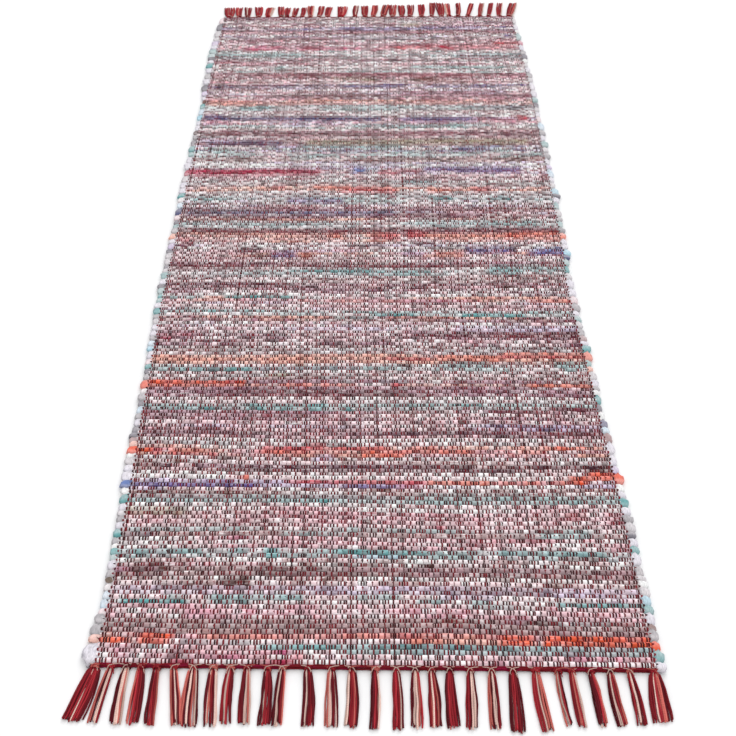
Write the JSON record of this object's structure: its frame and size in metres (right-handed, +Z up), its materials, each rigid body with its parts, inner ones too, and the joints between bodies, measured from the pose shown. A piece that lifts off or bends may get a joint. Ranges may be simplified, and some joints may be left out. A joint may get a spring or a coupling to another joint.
{
  "type": "kilim rug",
  "caption": "Long flat-woven cotton rag runner lying flat, with looped selvedges along both sides and a knotted warp fringe at each end.",
  "frame": {"origin": "middle of the underside of the whole outline, fringes included", "axes": "+X across the rug to its right-hand side, +Y along the rug from the near fringe to the far one, +Z up out of the floor"},
  "size_m": [0.7298, 2.202, 0.0068],
  "materials": {
    "rag_weave": "matt cotton rag weave, mixed pale pink, white, grey, teal, coral and maroon",
    "warp_yarn": "matt twisted cotton yarn, dark red with coral and beige"
  },
  "bodies": {
    "root": {"woven_cloth": "rag_weave", "fringe_near": "warp_yarn", "fringe_far": "warp_yarn"}
  },
  "joints": []
}
